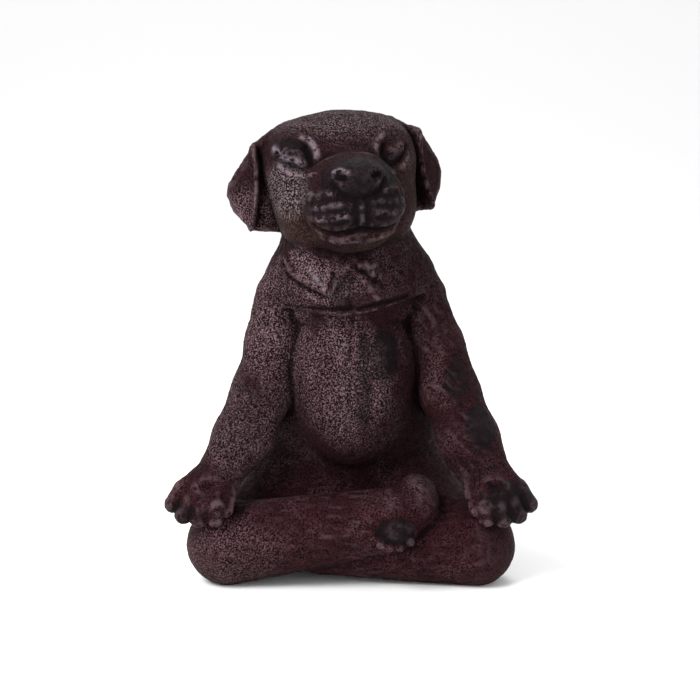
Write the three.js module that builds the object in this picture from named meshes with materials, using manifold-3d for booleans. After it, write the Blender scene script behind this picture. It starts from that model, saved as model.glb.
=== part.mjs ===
// A dog sitting cross-legged with closed eyes, its arms straight and its paws palm up on its knees.
// The figure is cast in one piece. The front is -Y, +Z is up and the origin is under its middle.

import * as THREE from "three";
import { mergeVertices } from "three/addons/utils/BufferGeometryUtils.js";
import Module from "manifold-3d";

// Driving dimensions
const HEIGHT = 150; // millimetres, from the underside to the crown
const FACES = 9600; // facets that the form is brought down to
const LATTICE = 0.7; // spacing of the sampling lattice, in percent of the height

// The form is laid out in percent of its height. These are the block of space that it fills, and the
// middle of its depth
const LOW = [-43, -29, -3];
const HIGH = [43, 32, 103];
const MIDDLE = 1.7;

const TINY = 1e-6; // less than this counts as nothing

const clamp = (value, low, high) => Math.min(Math.max(value, low), high);
const ease = (value) => {
  const t = clamp(value, 0, 1);
  return t * t * (3 - 2 * t);
};

// Clay: each function gives the distance from a point to a mass, below zero inside it

const ball = (p, centre, radii) => {
  let across = 0;
  let slope = 0;
  for (let i = 0; i < 3; i++) {
    const reach = (p[i] - centre[i]) / radii[i];
    across += reach * reach;
    slope += (reach / radii[i]) ** 2;
  }
  const k = Math.sqrt(across);
  return (k * (k - 1)) / Math.max(Math.sqrt(slope), TINY);
};

const limb = (p, from, to, fromRadius, toRadius) => {
  const bx = to[0] - from[0];
  const by = to[1] - from[1];
  const bz = to[2] - from[2];
  const px = p[0] - from[0];
  const py = p[1] - from[1];
  const pz = p[2] - from[2];
  const t = clamp((px * bx + py * by + pz * bz) / (bx * bx + by * by + bz * bz), 0, 1);
  const away = Math.sqrt((px - t * bx) ** 2 + (py - t * by) ** 2 + (pz - t * bz) ** 2);
  return away - (fromRadius + (toRadius - fromRadius) * t);
};

const chain = (p, points, radii, soft) => {
  let d = limb(p, points[0], points[1], radii[0], radii[1]);
  for (let i = 1; i < points.length - 1; i++) {
    d = blend(d, limb(p, points[i], points[i + 1], radii[i], radii[i + 1]), soft);
  }
  return d;
};

// Joins two masses with a fillet, cuts one out of another with a rounded lip, or keeps what both share

const fillet = (gap, soft) => {
  const h = Math.max(soft - Math.abs(gap), 0) / soft;
  return (h * h * soft) / 4;
};
const blend = (a, b, soft) => Math.min(a, b) - fillet(a - b, soft);
const carve = (a, b, soft) => Math.max(a, -b) + fillet(a + b, soft);
const shared = (a, b, soft) => Math.max(a, b) + fillet(a - b, soft);

// Joins a mass that fits in a sphere, and leaves it alone where it is too far off to matter
const blendNear = (d, p, centre, reach, mass, soft) => {
  const away = Math.hypot(p[0] - centre[0], p[1] - centre[1], p[2] - centre[2]) - reach;
  return away > d + soft ? d : blend(d, mass(p), soft);
};

// How far a point of the front lies inside corners that run anticlockwise, below zero outside them
const within = (u, w, corners) => {
  let least = Infinity;
  corners.forEach(([a, b], i) => {
    const [c, d] = corners[(i + 1) % corners.length];
    least = Math.min(least, ((w - b) * (c - a) - (u - a) * (d - b)) / Math.hypot(c - a, d - b));
  });
  return least;
};

// The head, in a frame of its own: turned to one side and tipped over a little

const HEAD_CENTRE = [-2.8, -1.1, 84.8];
const HEAD_TURN = THREE.MathUtils.degToRad(12.5);
const HEAD_TIP = THREE.MathUtils.degToRad(-4.6);
const HEAD_FRAME = new THREE.Matrix4()
  .makeRotationZ(HEAD_TURN)
  .multiply(new THREE.Matrix4().makeRotationY(HEAD_TIP))
  .transpose();

const inHead = (p) => {
  const x = p[0] - HEAD_CENTRE[0];
  const y = p[1] - HEAD_CENTRE[1];
  const z = p[2] - HEAD_CENTRE[2];
  const m = HEAD_FRAME.elements;
  return [m[0] * x + m[4] * y + m[8] * z, m[1] * x + m[5] * y + m[9] * z, m[2] * x + m[6] * y + m[10] * z];
};
const mirrored = (q, middle) => [Math.abs(q[0] - middle), q[1], q[2]];

// A hanging ear: a curved sheet whose front flap steps forward of the web beside the head
const EAR_HALF_THICKNESS = 1.3;
const EAR = [
  [8, -9], [13.5, -10.2], [19.6, -9.2], [22.9, -4.6], [23.8, -1.2],
  [23.2, 1.4], [18.2, 8.8], [13, 12], [8, 12],
];
const ear = (q, side, reach, lift) => {
  const x = side * q[0] - reach;
  const z = q[2] - lift;
  const fold = 16.2 + 0.015 * (z - 4) ** 2;
  const step = clamp((x - fold) / 2.2, 0, 1);
  const sheet = 3 - 4.2 * ease(step) + 0.85 * Math.max(x - fold - 1, 0);
  const slab = 0.5 * (Math.abs(q[1] - sheet) - EAR_HALF_THICKNESS * (1 + 6 * step * (1 - step)));
  return shared(slab, -within(x, z, EAR), 1.4);
};

// The head without its ears, in the head's own frame
const face = (q) => {
  const m = mirrored(q, 0);
  let d = ball(q, [0.6, 1, 0.2], [14.6, 15.5, 15]); // skull
  d = blend(d, ball(mirrored(q, 0.6), [8.9, 0.5, 4.7], [7.3, 10, 8.1]), 5); // temples
  d = blend(d, ball(mirrored(q, 0.4), [7.4, -5, -5.6], [7.4, 8.4, 8.2]), 4); // cheeks
  d = blend(d, ball(q, [0, -12, -2.8], [10.6, 9.8, 9.4]), 0.7); // muzzle
  d = blend(d, ball(q, [0, -11, -8.8], [8.8, 8.6, 5.2]), 1.6); // chin
  d = blend(d, ball(m, [4.4, -16.2, -4.4], [5.6, 5, 4.9]), 2.4); // upper lips
  return blend(d, ball(q, [0, -18.6, 2], [5.2, 3.9, 3.7]), 2.6); // nose
};

const head = (p) => {
  const q = inHead(p);
  let d = blend(face(q), ball(mirrored(q, 0), [14.6, 2.6, -0.6], [3.2, 3, 7]), 1); // ear roots
  d = blend(d, ear(q, -1, 0, 0.2), 1);
  return blend(d, ear(q, 1, 0.5, 1), 1);
};

// The paws lie palm up on the knees, each with four toes and a thumb

const TOES = [
  [[31.6, -15.6, 24], [35, -17.4, 21], [37.4, -18.4, 18.4]],
  [[30.8, -17.4, 22.6], [33.2, -19.6, 19], [35, -20.4, 16.6]],
  [[29.8, -18.2, 21.8], [30.8, -20.6, 18.4], [31.8, -21.2, 16]],
  [[28.6, -18.4, 21.2], [28.4, -20.8, 18.4], [28.4, -21.2, 16.2]],
];
const TOE_RADII = [2.2, 2.5, 1.9];

const paw = (p) => {
  let toes = Infinity;
  for (const toe of TOES) toes = blend(toes, chain(p, toe, TOE_RADII, 0.5), 0.6);
  let d = blend(ball(p, [30.4, -16.8, 20], [6, 5.2, 5.2]), toes, 0.9);
  d = blend(d, limb(p, [24.8, -15.6, 25], [26, -20.8, 17.6], 2, 1.3), 1);
  return carve(d, ball(p, [29.4, -21.9, 23.4], [2.6, 2, 1.5]), 1);
};

const ARM = [[15.4, 0, 60], [18, -2, 50], [20.4, -5, 39.5], [24.2, -9.6, 30.4], [28.8, -14.6, 22.8]];
const ARM_RADII = [5.4, 5.5, 6.3, 6.4, 5];

// The arms lean a little to one side between the shoulders and the paws
const armMiddle = (z) => ease((60 - z) / 14) * (1 - ease((30 - z) / 8));

const arms = (p) => {
  const m = mirrored(p, armMiddle(p[2]));
  return blendNear(chain(m, ARM, ARM_RADII, 2), m, [31, -18, 20], 12, paw, 1.6);
};

// The body: back, shoulders and belly, with a shawl of longer fur that ends in a hem over the belly

const hem = (x) => 59.2 + (x > 0 ? 0.14 : 0.05) * x;

const torso = (p) => {
  const [x, , z] = p;
  let d = ball(p, [0, 5, 36], [19.8, 13.4, 29]);
  d = blend(d, ball(p, [0, 2, 62], [18, 11.6, 11]), 2);
  const belly = blend(ball(p, [0.4, -1.4, 44.6], [14.4, 12.4, 15]), ball(p, [0, -1.4, 33], [11, 11.4, 11]), 8);
  d = blend(d, belly, 0.8);
  const shawl = Math.max(ball(p, [0, 0.8, 62.6], [18.9, 12.1, 13.4]), 0.97 * (hem(x) - z));
  d = blend(d, shawl, 0.9);
  return blend(d, limb(p, [0, 2, 64], [-1.8, 0, 80], 15, 13.2), 3);
};

// The crossed legs: hips and thighs, the lower shin, the upper shin over it, and the upper foot

const foot = (p) => {
  let toes = Infinity;
  for (const [x, z] of [[6.2, 11.3], [8.1, 10.7], [10.2, 10.8], [12.2, 11.9]]) {
    toes = Math.min(toes, limb(p, [(x + 9.4) / 2, -22, 13.4], [x, -24, z], 1.5, 1));
  }
  return blend(ball(p, [9.4, -21, 13.6], [4.4, 4.2, 3.8]), toes, 0.5);
};

const legs = (p) => {
  const m = mirrored(p, 0);
  let d = ball(p, [0, 9, 13], [25, 16, 15]);
  d = blend(d, ball(m, [12, 5, 15], [12, 13, 13.5]), 3);
  d = blend(d, limb(m, [14, 4, 12], [25.6, -12, 8], 10.5, 8.6), 3);
  d = blend(d, limb(p, [26.4, -13, 7.8], [-6, -12.2, 7.4], 8.8, 6.2), 1.2);
  d = blend(d, limb(p, [-26.4, -13.2, 8.2], [8.2, -16.8, 14.4], 8.8, 7), 0.9);
  d = blend(d, ball(p, [13.8, -13.4, 17.2], [4.9, 7.2, 6.2]), 2);
  return blendNear(d, p, [9.4, -21, 12.5], 7, foot, 0.7);
};

const tail = (p) => chain(p, [[0, 22.5, 8], [4.5, 26, 5.6], [10, 26.4, 4.6], [14.6, 24, 4.6]], [3, 2.6, 2.1, 1.4], 0.3);

const dog = (p) => {
  let d = blendNear(legs(p), p, [6, 24, 6], 13, tail, 1.4);
  d = blend(d, torso(p), 1.6);
  d = blend(d, arms(p), 1.2);
  return blendNear(d, p, HEAD_CENTRE, 30, head, 1);
};

// Carving: a line has a width, a height and points (across, up). It is drawn on the front of a form, and
// the skin near it moves out by its height, or in where the height is below zero

const EYE = [
  [2.7, -1, [[9, 6.8], [11.8, 6.8]]], // hollow
  [1.4, 1.4, [[10, 6.6], [12, 7.1]]], // lid
  [0.9, -1, [[13.9, 7.2], [13, 5.6], [11.2, 4.2], [9.6, 3.7], [8, 4.3]]], // slit
  [0.9, 0.45, [[13.6, 4.4], [11.8, 2.7], [9.8, 2], [7.8, 2.4]]], // lower lid
  [1, 0.9, [[8.4, 10], [7, 9.2], [6.2, 7.6], [6.2, 6]]], // inner brow
  [0.9, -0.6, [[8.6, 8.2], [8, 6.6], [8.2, 5.2]]],
  [1.8, 0.4, [[6.6, 12], [10, 12.4], [13.4, 10.6]]],
];
const EYE_LIFTS = [[-1, 0.4], [1, -0.5]];

const MUZZLE = [
  [0.85, 0.4, [[10.4, -2.4], [9.8, 1], [8.2, 3.6], [5.4, 5.6], [2, 6.6]]], // rim
  [0.85, -1.1, [[4.4, 2.8], [3.2, 2.3]]], // nostril
  [0.8, -0.6, [[5.4, 1], [4.4, -0.8], [2.6, -1.9], [0.8, -2.2]]], // under the nose
  [0.8, -0.6, [[1.2, -3], [1.2, -7]]], // beside the lips' parting
  [0.85, -1.2, [[0.8, -8.3], [2.4, -8.8], [5, -9], [7.6, -8.4], [9.4, -7]]], // mouth
  [0.9, 0.4, [[1.2, -10.4], [4.6, -10.9], [7.4, -10]]], // lower lip
  [0.8, 0.55, [[5.2, -0.9], [9.6, -1.4]]], // whisker roots
  [0.8, 0.55, [[4.4, -3], [9, -3.5]]],
  [0.8, 0.55, [[3.6, -5.2], [8.6, -5.7]]],
  [0.8, -0.3, [[3.6, -1.9], [9.4, -2.5]]],
  [0.8, -0.3, [[3.4, -4.1], [9, -4.6]]],
];

// Pointed tufts of fur under the chin: a ridge along each tuft's edge and a groove just below it
const TUFTS = [
  [1, [[-14.6, 69], [-13.2, 66.2], [-10.3, 64.6], [-7.7, 63.5], [-5.2, 62.4], [-4.8, 64.6], [-4.2, 67.4]]],
  [0.7, [[0.6, 69.2], [1, 68], [2.8, 67.8], [4.7, 65.6], [4.8, 68]]],
  [0.5, [[-4.6, 61.2], [-2.6, 64.8], [-0.4, 68], [2.2, 64.8], [4.8, 61]]],
];
const TUFT_RIDGE = [1.1, 0.75];
const TUFT_GROOVE = [0.8, -0.8];
const TUFT_DROP = [0.2, -1.2];

const BODY = [
  [0.9, -0.4, [[5.2, 65.2], [6.6, 63.6]]],
  [0.8, -0.35, [[0, 60], [0.4, 56], [-0.3, 51], [-0.4, 45], [0.1, 38], [0.2, 27]]],
  [0.8, -0.35, [[-13.8, 58.4], [-5.2, 58.5], [-0.2, 58.2]]],
  [0.8, -0.35, [[1.4, 58.4], [6, 59.5], [11.8, 60.7]]],
];

const BISECTIONS = 8;

// Walks in from the front until the form begins
const onFront = (form, across, up) => {
  let inside = LOW[1];
  while (inside < HIGH[1] && form([across, inside, up]) > 0) inside += LATTICE;
  let outside = inside - LATTICE;
  for (let round = 0; round < BISECTIONS; round++) {
    const y = (inside + outside) / 2;
    if (form([across, y, up]) > 0) outside = y;
    else inside = y;
  }
  return [across, inside, up];
};

const FADE = 2.5; // how many widths from its middle a line is felt

const press = (heights, points, form, [width, rise, drawn]) => {
  const line = drawn.map(([across, up]) => onFront(form, across, up));
  const low = [0, 1, 2].map((axis) => Math.min(...line.map((p) => p[axis])) - FADE * width);
  const high = [0, 1, 2].map((axis) => Math.max(...line.map((p) => p[axis])) + FADE * width);
  points.forEach((p, n) => {
    for (let axis = 0; axis < 3; axis++) if (p[axis] < low[axis] || p[axis] > high[axis]) return;
    let nearest = Infinity;
    for (let i = 1; i < line.length; i++) nearest = Math.min(nearest, limb(p, line[i - 1], line[i], 0, 0));
    heights[n] += rise * Math.exp(-((nearest / width) ** 2));
  });
};

const carving = (points) => {
  const heights = new Float64Array(points.length);
  const inFace = points.map(inHead);
  for (const [side, lift] of EYE_LIFTS) {
    const lines = EYE.map(([width, rise, drawn]) => [width, rise, drawn.map(([u, w]) => [side * u, w + lift])]);
    lines.push(...MUZZLE.map(([width, rise, drawn]) => [width, rise, drawn.map(([u, w]) => [side * u, w])]));
    for (const line of lines) press(heights, inFace, face, line);
  }
  for (const [lift, drawn] of TUFTS) {
    const below = drawn.map(([u, w]) => [u + TUFT_DROP[0], w + TUFT_DROP[1]]);
    press(heights, points, torso, [TUFT_RIDGE[0], TUFT_RIDGE[1] * lift, drawn]);
    press(heights, points, torso, [TUFT_GROOVE[0], TUFT_GROOVE[1] * lift, below]);
  }
  for (const line of BODY) press(heights, points, torso, line);
  return heights;
};

// Samples the form on a cubic lattice, only near its surface: a block that the surface may cross is split in
// eight, down to single cells

const HALVINGS = 3; // times that the largest block is split in half
const LARGEST_BLOCK = 1 << HALVINGS;
const SKIP = 3; // a block is left out when its middle is further off than its half diagonal times this

const sampled = (form, low, high, step) => {
  const count = low.map((v, i) => Math.ceil((high[i] - v) / step / LARGEST_BLOCK) * LARGEST_BLOCK);
  const [nx, ny, nz] = count.map((n) => n + 1);
  const values = new Float64Array(nx * ny * nz).fill(NaN);
  const index = (i, j, k) => (i * ny + j) * nz + k;
  const place = (i, j, k) => [low[0] + i * step, low[1] + j * step, low[2] + k * step];
  const cells = [];
  const visit = (i, j, k, size) => {
    if (size > 1) {
      const half = size / 2;
      const away = Math.abs(form(place(i + half, j + half, k + half)));
      if (away > SKIP * Math.sqrt(3) * half * step) return;
      for (let corner = 0; corner < 8; corner++) {
        visit(i + (corner & 1) * half, j + ((corner >> 1) & 1) * half, k + (corner >> 2) * half, half);
      }
      return;
    }
    for (let corner = 0; corner < 8; corner++) {
      const at = [i + (corner & 1), j + ((corner >> 1) & 1), k + (corner >> 2)];
      const n = index(...at);
      if (Number.isNaN(values[n])) {
        const value = form(place(...at));
        values[n] = Math.abs(value) < TINY ? TINY : value;
      }
    }
    cells.push([i, j, k]);
  };
  for (let i = 0; i < count[0]; i += LARGEST_BLOCK) {
    for (let j = 0; j < count[1]; j += LARGEST_BLOCK) {
      for (let k = 0; k < count[2]; k += LARGEST_BLOCK) visit(i, j, k, LARGEST_BLOCK);
    }
  }
  return { values, index, cells, place };
};

// Marching tetrahedra: each lattice cube is split in six along its diagonal, which always gives a closed surface

const minus = (a, b) => [a[0] - b[0], a[1] - b[1], a[2] - b[2]];
const dot = (a, b) => a[0] * b[0] + a[1] * b[1] + a[2] * b[2];
const cross = (a, b) => [a[1] * b[2] - a[2] * b[1], a[2] * b[0] - a[0] * b[2], a[0] * b[1] - a[1] * b[0]];
const between = (a, b, t) => [a[0] + t * (b[0] - a[0]), a[1] + t * (b[1] - a[1]), a[2] + t * (b[2] - a[2])];

const TETRAHEDRA = [[1, 2], [1, 4], [2, 1], [2, 4], [4, 1], [4, 2]].map(([a, b]) => [0, a, a | b, 7]);
const NEAR_CORNER = 0.06; // a crossing keeps this share of an edge clear of its ends

const skinned = ({ values, index, cells, place }) => {
  const points = [];
  const faces = [];
  const known = new Map();
  for (const [i, j, k] of cells) {
    const corner = (c) => [i + (c & 1), j + ((c >> 1) & 1), k + (c >> 2)];
    const at = [0, 1, 2, 3, 4, 5, 6, 7].map((c) => index(...corner(c)));
    const inside = at.map((n) => values[n] < 0);
    if (inside.every((state) => state === inside[0])) continue;
    const crossing = (inner, outer) => {
      const first = Math.min(at[inner], at[outer]);
      const key = first * 8 + (inner ^ outer);
      if (!known.has(key)) {
        const share = values[at[inner]] / (values[at[inner]] - values[at[outer]]);
        known.set(key, points.length);
        const t = clamp(share, NEAR_CORNER, 1 - NEAR_CORNER);
        points.push(between(place(...corner(inner)), place(...corner(outer)), t));
      }
      return known.get(key);
    };
    const add = (inner, a, b, c) => {
      const out = cross(minus(points[b], points[a]), minus(points[c], points[a]));
      faces.push(dot(out, minus(points[a], place(...corner(inner)))) > 0 ? [a, b, c] : [a, c, b]);
    };
    for (const corners of TETRAHEDRA) {
      const ins = corners.filter((c) => inside[c]);
      const outs = corners.filter((c) => !inside[c]);
      if (ins.length === 1) {
        add(ins[0], ...outs.map((outer) => crossing(ins[0], outer)));
      } else if (ins.length === 3) {
        add(ins[0], ...ins.map((inner) => crossing(inner, outs[0])));
      } else if (ins.length === 2) {
        const [a, b] = outs.map((outer) => crossing(ins[0], outer));
        const [c, d] = outs.map((outer) => crossing(ins[1], outer));
        add(ins[0], a, b, d);
        add(ins[0], a, d, c);
      }
    }
  }
  return { points, faces };
};

// Brings a closed surface down to a number of faces: the edge whose loss changes the shape least goes first

class Queue {
  constructor() {
    this.items = [];
  }
  push(item) {
    const { items } = this;
    let n = items.length;
    items.push(item);
    while (n > 0) {
      const parent = (n - 1) >> 1;
      if (items[parent].cost <= item.cost) break;
      items[n] = items[parent];
      n = parent;
    }
    items[n] = item;
  }
  pop() {
    const { items } = this;
    const top = items[0];
    const last = items.pop();
    if (items.length === 0) return top;
    let n = 0;
    for (;;) {
      let child = 2 * n + 1;
      if (child >= items.length) break;
      if (child + 1 < items.length && items[child + 1].cost < items[child].cost) child += 1;
      if (items[child].cost >= last.cost) break;
      items[n] = items[child];
      n = child;
    }
    items[n] = last;
    return top;
  }
}

const NECK = 70; // height above which a face's errors count for more, so that the head keeps more facets
const HEAD_SHARE = 3.5;
const PULL = 0.002; // keeps a new corner near the middle of its edge where the surface leaves it free
const LEAST_FACING = 0.25; // how nearly a face keeps its direction

const reduced = ({ points, faces }, target) => {
  const around = points.map(() => new Set());
  faces.forEach((face, n) => face.forEach((v) => around[v].add(n)));
  const errors = points.map(() => new Float64Array(10));
  for (const [a, b, c] of faces) {
    const out = cross(minus(points[b], points[a]), minus(points[c], points[a]));
    const size = Math.hypot(...out) || TINY;
    const [x, y, z] = out.map((v) => v / size);
    const w = -dot([x, y, z], points[a]);
    const terms = [x * x, x * y, x * z, x * w, y * y, y * z, y * w, z * z, z * w, w * w];
    const weight = size * (points[a][2] > NECK ? HEAD_SHARE : 1);
    for (const v of [a, b, c]) terms.forEach((term, i) => (errors[v][i] += term * weight));
  }
  const age = new Int32Array(points.length);
  const queue = new Queue();
  const offer = (a, b) => {
    const e = errors[a].map((v, i) => v + errors[b][i]);
    const middle = between(points[a], points[b], 0.5);
    const pull = PULL * (e[0] + e[4] + e[7]);
    const [xx, xy, xz, yy, yz, zz] = [e[0] + pull, e[1], e[2], e[4] + pull, e[5], e[7] + pull];
    const [bx, by, bz] = [pull * middle[0] - e[3], pull * middle[1] - e[6], pull * middle[2] - e[8]];
    const ca = yy * zz - yz * yz;
    const cb = xz * yz - xy * zz;
    const cc = xy * yz - xz * yy;
    const scale = 1 / (xx * ca + xy * cb + xz * cc);
    const x = scale * (ca * bx + cb * by + cc * bz);
    const y = scale * (cb * bx + (xx * zz - xz * xz) * by + (xy * xz - xx * yz) * bz);
    const z = scale * (cc * bx + (xy * xz - xx * yz) * by + (xx * yy - xy * xy) * bz);
    const cost =
      e[0] * x * x + e[4] * y * y + e[7] * z * z + e[9] +
      2 * (e[1] * x * y + e[2] * x * z + e[5] * y * z + e[3] * x + e[6] * y + e[8] * z);
    queue.push({ cost, a, b, ages: age[a] + age[b], to: [x, y, z] });
  };
  const neighbours = (v) => {
    const found = new Set();
    for (const n of around[v]) for (const other of faces[n]) if (other !== v) found.add(other);
    return found;
  };
  for (const [a, b, c] of faces) {
    if (a < b) offer(a, b);
    if (b < c) offer(b, c);
    if (c < a) offer(c, a);
  }
  const turnsOver = (v, other, to) => {
    for (const n of around[v]) {
      const face = faces[n];
      if (face.includes(other)) continue;
      const [p, q, r] = face.map((w) => points[w]);
      const [s, t, u] = face.map((w) => (w === v ? to : points[w]));
      const before = cross(minus(q, p), minus(r, p));
      const after = cross(minus(t, s), minus(u, s));
      const sizes = Math.hypot(...before) * Math.hypot(...after);
      if (dot(before, after) < LEAST_FACING * sizes || sizes === 0) return true;
    }
    return false;
  };
  let left = faces.length;
  while (left > target && queue.items.length > 0) {
    const { a, b, ages, to } = queue.pop();
    if (around[a] === null || around[b] === null || ages !== age[a] + age[b]) continue;
    const beside = neighbours(b);
    const common = [...neighbours(a)].filter((v) => beside.has(v));
    if (common.length !== 2 || turnsOver(a, b, to) || turnsOver(b, a, to)) continue;
    points[a] = to;
    for (let i = 0; i < 10; i++) errors[a][i] += errors[b][i];
    for (const n of around[b]) {
      if (faces[n].includes(a)) {
        for (const v of faces[n]) if (v !== b) around[v].delete(n);
        faces[n] = null;
        left -= 1;
      } else {
        faces[n] = faces[n].map((v) => (v === b ? a : v));
        around[a].add(n);
      }
    }
    around[b] = null;
    age[a] += ages + 1;
    for (const v of neighbours(a)) offer(a, v);
  }
  return { points, faces: faces.filter((face) => face !== null) };
};

// Moves each corner along the form's slope by the height of the carving there
const PROBE = 0.1;
const LEAST_HEIGHT = 0.01;
const LEAST_SLOPE = 0.2;

const slopeOf = (form, p) =>
  [0, 1, 2].map((axis) => {
    const ahead = [...p];
    const behind = [...p];
    ahead[axis] += PROBE;
    behind[axis] -= PROBE;
    return (form(ahead) - form(behind)) / (2 * PROBE);
  });

const carved = ({ points, faces }) => {
  const heights = carving(points);
  const moved = points.map((p, n) => {
    if (Math.abs(heights[n]) < LEAST_HEIGHT) return p;
    const slope = slopeOf(dog, p);
    const move = heights[n] / Math.max(Math.hypot(...slope), LEAST_SLOPE);
    return p.map((v, axis) => v + move * slope[axis]);
  });
  return { points: moved, faces };
};

// The form as one closed body in millimetres, cut flat where it stands

const wasm = await Module();
wasm.setup();

const solidOf = (geometry) => {
  const plain = geometry.clone();
  plain.deleteAttribute("normal");
  plain.deleteAttribute("uv");
  const merged = mergeVertices(plain);
  return new wasm.Manifold(
    new wasm.Mesh({
      numProp: 3,
      vertProperties: Float32Array.from(merged.attributes.position.array),
      triVerts: Uint32Array.from(merged.index.array),
    }),
  );
};

const geometryOf = (solid) => {
  const { vertProperties, triVerts } = solid.getMesh();
  const geometry = new THREE.BufferGeometry();
  geometry.setAttribute("position", new THREE.Float32BufferAttribute(vertProperties, 3));
  geometry.setIndex(new THREE.Uint32BufferAttribute(triVerts, 1));
  geometry.computeVertexNormals();
  return geometry;
};

const figureGeometry = () => {
  const skin = reduced(carved(skinned(sampled(dog, LOW, HIGH, LATTICE))), FACES);
  const numbers = new Map();
  const kept = [];
  for (const v of skin.faces.flat()) {
    if (!numbers.has(v)) {
      numbers.set(v, kept.length);
      kept.push(skin.points[v]);
    }
  }
  const scale = HEIGHT / Math.max(...kept.map((p) => p[2]));
  const corners = kept.flatMap(([x, y, z]) => [x, y - MIDDLE, z].map((v) => v * scale));
  const geometry = new THREE.BufferGeometry();
  geometry.setAttribute("position", new THREE.Float32BufferAttribute(corners, 3));
  geometry.setIndex(skin.faces.flat().map((v) => numbers.get(v)));
  return geometry;
};

const ground = new THREE.BoxGeometry(2 * HEIGHT, 2 * HEIGHT, HEIGHT);
ground.translate(0, 0, -HEIGHT / 2);

const resin = new THREE.MeshStandardMaterial({ color: 0x4a3236, roughness: 0.8, metalness: 0 });
const dogMesh = new THREE.Mesh(geometryOf(solidOf(figureGeometry()).subtract(solidOf(ground))), resin);
dogMesh.name = "dog";

const figurine = new THREE.Group();
figurine.add(dogMesh);

export default figurine;
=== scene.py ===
# %% [markdown]
# # A cast resin dog, sitting cross-legged
# The real object is one casting in dark resin: a dog that sits like a person at rest, with its eyes
# closed, its arms straight and its paws turned up on its knees. The solid model already holds its size,
# so this lesson starts from that solid and never moves it. Blender's unit here is the metre.

# %% Load the solid model
import math

import bpy
import numpy as np
from mathutils import Matrix, Vector


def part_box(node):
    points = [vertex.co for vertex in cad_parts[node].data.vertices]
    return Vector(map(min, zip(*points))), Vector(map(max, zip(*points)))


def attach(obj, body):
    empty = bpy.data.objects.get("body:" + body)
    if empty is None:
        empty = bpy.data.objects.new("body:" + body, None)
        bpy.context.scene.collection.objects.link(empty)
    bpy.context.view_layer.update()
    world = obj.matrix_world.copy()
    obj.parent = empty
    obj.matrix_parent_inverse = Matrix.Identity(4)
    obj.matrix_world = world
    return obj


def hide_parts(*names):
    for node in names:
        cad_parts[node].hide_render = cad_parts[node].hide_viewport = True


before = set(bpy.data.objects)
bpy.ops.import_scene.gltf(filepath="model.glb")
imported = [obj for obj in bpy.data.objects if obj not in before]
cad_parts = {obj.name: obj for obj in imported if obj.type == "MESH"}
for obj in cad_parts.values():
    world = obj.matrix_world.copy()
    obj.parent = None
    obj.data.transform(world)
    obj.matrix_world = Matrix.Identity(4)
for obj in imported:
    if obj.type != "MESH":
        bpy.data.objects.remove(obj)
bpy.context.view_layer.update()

# %% [markdown]
# ## The sculptor's unit
# A figure is laid out in shares of its own height, as a sculptor does with a pair of dividers. One
# percent of the height is the unit of every place and size in the clay below. The front is -Y, and the
# viewer's right is +X. A later step turns percent into metres.

# %% The unit
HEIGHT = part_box("dog")[1][2]
PERCENT = HEIGHT / 100
MIDDLE = 1.7  # the middle of the depth lies this far behind the line of the shoulders
TINY = 1e-6  # less than this counts as nothing
FAR = 1e9  # farther than any mass
print("height:", round(HEIGHT, 4), "m")

# %% [markdown]
# ## Clay
# Overlapping balls and tapered limbs could be joined with Boolean modifiers, but their joints would stay
# sharp. Clay in numbers is softer: each mass is a function that gives the distance from a point to its
# skin, below zero inside. Two kinds of mass are enough for a whole dog: an egg and a tapered limb.

# %% Masses
def ball(p, centre, radii):
    """An egg with its own half width, depth and height."""
    reach = (p - np.array(centre, float)) / np.array(radii, float)
    k = np.sqrt((reach**2).sum(-1))
    slope = np.sqrt(((reach / np.array(radii, float)) ** 2).sum(-1))
    return k * (k - 1) / np.maximum(slope, TINY)


def limb(p, start, end, start_radius, end_radius):
    """A round limb that tapers from one joint to the next."""
    start = np.array(start, float)
    along = np.array(end, float) - start
    t = np.clip((p - start) @ along / (along @ along), 0, 1)
    away = np.sqrt(((p - start - t[:, None] * along) ** 2).sum(-1))
    return away - (start_radius + (end_radius - start_radius) * t)


one_point = np.array([[0.0, 0.0, 3.0]])
print("from 3 up to an egg of 2:", ball(one_point, (0, 0, 0), (2, 2, 2)).round(3))

# %% [markdown]
# ## How masses join
# Two masses melt together with a fillet where both distances are small. The same fillet rounds the lip
# where one mass is cut out of another, and the edge of what two masses share.

# %% Joins
def fillet(gap, soft):
    return np.maximum(soft - np.abs(gap), 0) ** 2 / (4 * soft)


def blend(a, b, soft):
    return np.minimum(a, b) - fillet(a - b, soft)


def carve(a, b, soft):
    return np.maximum(a, -b) + fillet(a + b, soft)


def shared(a, b, soft):
    return np.maximum(a, b) + fillet(a - b, soft)


def chain(p, joints, radii, soft):
    """Limbs from joint to joint, melted at each."""
    d = limb(p, joints[0], joints[1], radii[0], radii[1])
    for i in range(1, len(joints) - 1):
        d = blend(d, limb(p, joints[i], joints[i + 1], radii[i], radii[i + 1]), soft)
    return d


def mirrored(p, middle=0.0):
    return np.stack([np.abs(p[:, 0] - middle), p[:, 1], p[:, 2]], 1)


def melted(d, p, masses):
    """Melts named masses onto a form: each has its function, its numbers, its fillet, and the middle that
    it is mirrored over, or None."""
    for mass, numbers, soft, middle in masses.values():
        d = blend(d, mass(p if middle is None else mirrored(p, middle), *numbers), soft)
    return d


def ease(value):
    t = np.clip(value, 0, 1)
    return t * t * (3 - 2 * t)


print("a fillet of 2 adds at most", fillet(0, 2))

# %% [markdown]
# ## Ears
# An ear is a curved sheet. Its outline is drawn on the front, and its flap steps forward of the web that
# ties it to the head, along a bowed fold where the sheet is thicker. A bent plane with a Solidify modifier
# would do as well, but it wouldn't melt into the head.

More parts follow.
